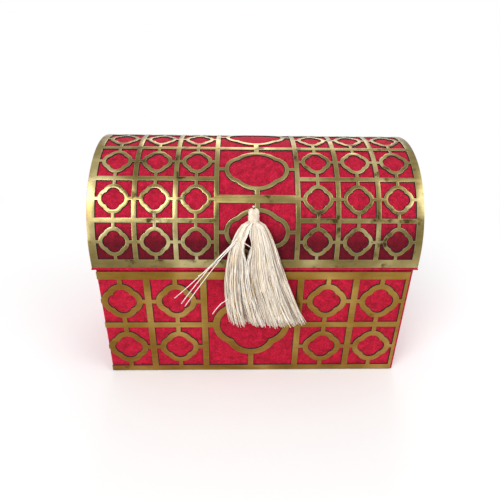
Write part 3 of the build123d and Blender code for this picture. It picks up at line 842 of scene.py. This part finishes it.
def lid_cells():
    """Cells of the lid's sheet, in the trunk's x and the length along the sheet from its front edge."""
    pitch = LID_CELL_HEIGHT + LID_BAR
    first = LID_CENTRE_CELL / 2 + LID_BAR + LID_CELL / 2
    ring = ((LID_FOIL, LID_FOIL), SMALL_CUSPS, LID_RING, (LID_LINK, LID_LINK))
    large_ring = (LID_LARGE_FOIL, LARGE_CUSPS, LID_LARGE_RING, LID_LARGE_LINKS)
    cells = []
    for row in range(LID_ROWS):
        middle = LID_BORDER + row * pitch + LID_CELL_HEIGHT / 2
        for side in (-1, 1):
            for column in range(LID_COLUMNS):
                place = (side * (first + column * (LID_CELL + LID_BAR)), middle)
                cells.append(Cell(place, (LID_CELL, LID_CELL_HEIGHT), *ring))
    span = ROWS_PER_REPEAT * pitch - LID_BAR
    tall = (span - (LARGE_PER_REPEAT - 1) * LID_CENTRE_BAR) / LARGE_PER_REPEAT
    for repeat in range(LID_ROWS // ROWS_PER_REPEAT):
        for n in range(LARGE_PER_REPEAT):
            middle = LID_BORDER + repeat * ROWS_PER_REPEAT * pitch + n * (tall + LID_CENTRE_BAR) + tall / 2
            cells.append(Cell((0, middle), (LID_CENTRE_CELL, tall), *large_ring))
    return cells


def on_front(x, s, depth):
    """Flat on the base's front: along x, up by s, and back by a depth from the sheet's face."""
    return np.column_stack([x, np.full(len(x), front_low.y + depth), front_low.z + s])


def over_dome(x, s, depth):
    """Bent over the dome: straight up the lip, then round a circle of the card's radius less the depth."""
    lip = DOME_Z - sheet_low.z
    turn = np.maximum(s - lip, 0) / CARD_OUTSIDE
    radius = CARD_OUTSIDE - depth
    height = DOME_Z + radius * np.sin(turn) - np.maximum(lip - s, 0)
    return np.column_stack([x, DOME_Y - radius * np.cos(turn), height])


front_sheet = cut_sheet((front_low.x, front_high.x), front_high.z - front_low.z, front_cells(), FLAT_STEP)
card_piece("front_lattice_card", *front_sheet, on_front, "base", "base_fretwork", GOLD_FRONT)
lid_length = LID_ROWS * (LID_CELL_HEIGHT + LID_BAR) - LID_BAR + 2 * LID_BORDER
lid_sheet = cut_sheet((sheet_low.x, sheet_high.x), lid_length, lid_cells(), FOLD_STEP)
card_piece("lid_lattice_card", *lid_sheet, over_dome, "lid", "lid_fretwork", GOLD_LID_WITH_PAINTED_REFLECTION)


# Tassel

NECK_DOWN = np.array([0, -sin(NECK_LEAN), -cos(NECK_LEAN)])
NECK_FRONT = np.array([0, -cos(NECK_LEAN), sin(NECK_LEAN)])
SIDEWAYS = np.array([1.0, 0, 0])
ball_centre = np.array(BALL)


def about_neck(drop, radius, turn):
    """Points round the leaning neck's line: a drop along it, and a radius at a turn."""
    across = np.cos(turn)[..., None] * SIDEWAYS + np.sin(turn)[..., None] * NECK_FRONT
    return ball_centre + np.asarray(drop)[..., None] * NECK_DOWN + np.asarray(radius)[..., None] * across


def tassel_head():
    """Head of thread: a ball ribbed by threads from the crown to the neck, with a notch across the crown.

    The notch lowers a point by a bell curve of its sideways place and of its turn from the crown.
    """
    turns, climb = pole_grid(*HEAD_GRID)
    radius = BALL_RADIUS * np.sin(climb) * (HEAD_GROOVE + HEAD_RIB * np.abs(np.cos(HEAD_RIBS * turns)))
    aside, from_crown = radius * np.cos(turns) / HEAD_NOTCH_WIDE, climb / HEAD_NOTCH_TURN
    notch = HEAD_NOTCH * np.exp(-(aside**2)) * np.exp(-(from_crown**2))
    points = about_neck(notch - BALL_RADIUS * np.cos(climb), radius, turns)
    faces = grid_faces(*HEAD_GRID, closed_rows=True)
    piece = mesh_piece("tassel_head_thread", points, faces, "tassel_head", SILK, ROUND_CREASE)
    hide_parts("tassel_head")


def tassel_neck():
    """Gathered thread under the binding: a round-ended column whose radius ripples with its threads."""
    turns, climb = pole_grid(*NECK_GRID)
    middle = (BALL_RADIUS + SKIRT_GATHER) / 2 + NECK_LOWER
    ribbed = SKIRT_GATHER_RADIUS + NECK_RIB * np.abs(np.cos(NECK_RIBS * turns))
    radius = ribbed * np.sin(climb) ** NECK_END_POWER
    points = about_neck(middle - NECK_HALF_LENGTH * np.cos(climb), radius, turns)
    faces = grid_faces(*NECK_GRID, closed_rows=True)
    piece = mesh_piece("tassel_neck_thread", points, faces, "tassel_skirt", SILK, ROUND_CREASE)
    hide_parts("tassel_neck")


def tassel_binding():
    """Binding wound round the neck: a tube on a helix, its turns side by side, drawn in at the middle."""
    tube = (BINDING_BOTTOM - BINDING_TOP) / BINDING_TURNS / 2
    along = np.linspace(0, 1, BINDING_POINTS * BINDING_TURNS)
    angle = 2 * pi * BINDING_TURNS * along
    radius = BINDING_RADIUS - tube - BINDING_WAIST * np.sin(pi * along)
    drop = BINDING_TOP + tube + (BINDING_BOTTOM - BINDING_TOP - 2 * tube) * along
    centre = about_neck(drop, radius, angle)
    outward = unit(about_neck(np.zeros(len(along)), np.ones(len(along)), angle) - ball_centre)
    turn = ring_turns(BINDING_SIDES)
    ring = np.cos(turn)[None, :, None] * outward[:, None] + np.sin(turn)[None, :, None] * NECK_DOWN
    ring[[0, -1]] = 0
    points = centre[:, None] + tube * BINDING_OVERLAP * ring
    faces = grid_faces(len(along), BINDING_SIDES, closed_columns=True)
    piece = mesh_piece("tassel_binding_thread", points, faces, "tassel_skirt", SILK, ROUND_CREASE)
    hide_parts("tassel_neck_binding")


def skirt_middle(share):
    """Middle of the skirt at a share of its length: it leans off the dome, then hangs and drifts right."""
    top = ball_centre + SKIRT_GATHER * NECK_DOWN
    drift = SKIRT_HEM_RIGHT * share**2 - SKIRT_MIDDLE_LEFT * share * (1 - share)
    reach = SKIRT_FORWARD * (1 - (1 - share) ** SKIRT_STRAIGHTENS)
    return np.stack([top[0] + drift, top[1] - reach, top[2] - (top[2] - skirt_low.z) * share], -1)


def strand_tubes(name, lines, radii, tones, body):
    """Thin four-sided tubes along many lines at once: each line's points plus a small ring across it."""
    count, steps = lines.shape[:2]
    along = unit(np.gradient(lines, axis=1))
    aside = unit(np.cross(along, np.broadcast_to([0, 1.0, 0], along.shape)))
    other = np.cross(aside, along)
    turn = ring_turns(STRAND_SIDES) + rng.uniform(0, pi / 2, (count, 1, 1))
    rings = np.cos(turn)[..., None] * aside[:, :, None] + np.sin(turn)[..., None] * other[:, :, None]
    points = lines[:, :, None] + radii[..., None, None] * rings
    size = steps * STRAND_SIDES
    one = grid_faces(steps, STRAND_SIDES, closed_columns=True)
    ends = np.array([np.arange(STRAND_SIDES), size - 1 - np.arange(STRAND_SIDES)])
    each = np.concatenate([one, ends])
    faces = (each[None] + size * np.arange(count)[:, None, None]).reshape(-1, 4)
    share = np.broadcast_to(tones[:, None, None], points.shape[:3])
    return mesh_piece(name, points, faces, body, THREADS, THREAD_CREASE, share)


def tassel_skirt():
    """Loose threads in locks, from the gathering to the ragged hem.

    Each thread keeps its place (u, v) in a round section that widens to an oval. Its place is its lock's
    plus its own, which shrinks towards the hem, so that gaps open between locks. A bell curve parts the
    threads left of the middle, and two sine waves make each one wander and kink.
    """
    share = np.linspace(0, 1, STRAND_STEPS)[None, :] ** STRAND_CROWDING
    turn, out = rng.uniform(0, 2 * pi, LOCKS), np.sqrt(rng.uniform(INNERMOST_LOCK, 1, LOCKS))
    lock = rng.integers(0, LOCKS, STRANDS)
    reach = rng.uniform(SHORTEST_STRAND, 1.0, (STRANDS, 1)) * share
    drawn_in = LOCK_DRAWN_IN * reach**LOCK_DRAW_POWER
    own = rng.normal(0, STRAND_SPREAD, (2, STRANDS, 1)) * (1 - drawn_in)
    u = (out * np.cos(turn))[lock][:, None] + own[0]
    v = (out * np.sin(turn))[lock][:, None] + own[1]
    too_far = np.maximum(np.hypot(u, v), 1)
    u, v = u / too_far, v / too_far
    wide = SKIRT_GATHER_RADIUS + SKIRT_HALF_WIDTH_GAIN * reach**SKIRT_FLARE
    thick = SKIRT_HALF_THICKNESS + SKIRT_HEM_THICKER * reach
    bell = PARTING_WIDTH * np.exp(-((reach - PARTING_LEVEL) / PARTING_TALL) ** 2)
    crossing = rng.uniform(0, 1, (STRANDS, 1)) < CROSSING_STRANDS
    fade = np.exp(-abs(u - PARTING_AT) / PARTING_FADE)
    parting = ~crossing * bell * fade * np.sign(u - PARTING_AT)
    rates, phases = rng.uniform(*WANDER_COUNTS, (STRANDS, 1)), rng.uniform(0, 2 * pi, (STRANDS, 1))
    waves = 2 * pi * rates * reach + phases
    wander = WANDER * reach * np.sin(waves)
    kink = KINK * np.sin(KINKS_EACH_WANDER * waves) * np.minimum(reach / KINK_FULL_AT, 1)
    lines = skirt_middle(reach)
    lines[..., 0] += wide * (u + parting) + wander + kink
    lines[..., 1] -= thick * v + kink
    radii = STRAND_RADIUS * rng.uniform(*STRAND_RADII, (STRANDS, 1)) * np.ones_like(reach)
    piece = strand_tubes("tassel_skirt_threads", lines, radii, rng.uniform(0, 1, STRANDS), "tassel_skirt")
    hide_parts("tassel_skirt")


def loose_threads():
    """The few threads that stray left of the skirt, each a curve through a start, a middle and an end."""
    strays = np.array([
        [(-15, -84.5, 139), (-33.4, -87, 118.6), (-66, -85, 84.5)],
        [(-15.5, -85, 137.5), (-35, -87, 116.5), (-61, -85, 79)],
        [(-16, -85, 136), (-32, -87, 116.5), (-57.5, -86, 78)],
        [(-17, -84.5, 134), (-30, -86, 120), (-46, -86, 106)],
        [(-22.5, -87, 85), (-29, -88, 80.5), (-36, -86.5, 69.5)],
    ])
    starts, middles, ends = strays.transpose(1, 0, 2)
    count = len(strays)
    t = np.linspace(0, 1, STRAND_STEPS)[None, :, None]
    bent = 2 * middles - (starts + ends) / 2
    lines = (1 - t) ** 2 * starts[:, None] + 2 * t * (1 - t) * bent[:, None] + t**2 * ends[:, None]
    waves = np.sin(LOOSE_WAVES * t + 2 * np.arange(count)[:, None, None])
    kinks = LOOSE_KINK * waves * np.array([0.6, 0.2, 0.8])
    radii = np.full((count, STRAND_STEPS), LOOSE_RADIUS)
    strand_tubes("tassel_loose_threads", lines + kinks, radii, np.full(count, LOOSE_TONE), "tassel_skirt")


def twisted_cord():
    """Two-ply cord from the knot inside the lid to the head: a tube with two lobes that turn as it runs."""
    low, high = (np.array(v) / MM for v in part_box("tassel_cord"))
    start = np.array([BALL.x, high[1] - CORD_HALF, low[2] + CORD_HALF])
    outside = np.array([BALL.x, low[1] + CORD_HALF, high[2] - CORD_HALF])
    t = np.linspace(0, 1, CORD_STEPS)[:, None]
    bent = np.array([BALL.x, low[1] + CORD_BEND_OUT, high[2] - CORD_BEND_DOWN])
    line = (1 - t) ** 2 * start + 2 * t * (1 - t) * bent + t**2 * outside
    along = unit(np.gradient(line, axis=0))
    aside = np.broadcast_to(SIDEWAYS, along.shape)
    other = np.cross(aside, along)
    turn = ring_turns(CORD_SIDES)[None, :]
    radius = CORD_RADIUS + CORD_PLY * np.abs(np.cos(turn + 2 * pi * CORD_TWISTS * t))
    ring = np.cos(turn)[..., None] * aside[:, None] + np.sin(turn)[..., None] * other[:, None]
    ring[[0, -1]] = 0
    points = line[:, None] + radius[..., None] * ring
    faces = grid_faces(CORD_STEPS, CORD_SIDES, closed_columns=True)
    piece = mesh_piece("tassel_twisted_cord", points, faces, "lid", SILK, ROUND_CREASE)
    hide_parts("tassel_cord")


def cord_knot():
    """Knot inside the lid: a squat ball ridged by three slanting turns of the cord."""
    low, high = (np.array(v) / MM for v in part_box("tassel_cord_knot"))
    middle, half = (low + high) / 2, (high - low) / 2
    turns, climb = pole_grid(*KNOT_GRID)
    radius = KNOT_GROOVE + KNOT_RIDGE * np.abs(np.cos(KNOT_RIDGES * (turns / 2 + climb)))
    shape = np.stack([np.sin(climb) * np.cos(turns), np.sin(climb) * np.sin(turns), np.cos(climb)], -1)
    points = middle + radius[..., None] * shape * half
    faces = grid_faces(*KNOT_GRID, closed_rows=True)[:, ::-1]
    piece = mesh_piece("tassel_knot_thread", points, faces, "lid", SILK, ROUND_CREASE)
    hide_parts("tassel_cord_knot")


tassel_head()
tassel_neck()
tassel_binding()
tassel_skirt()
loose_threads()
twisted_cord()
cord_knot()
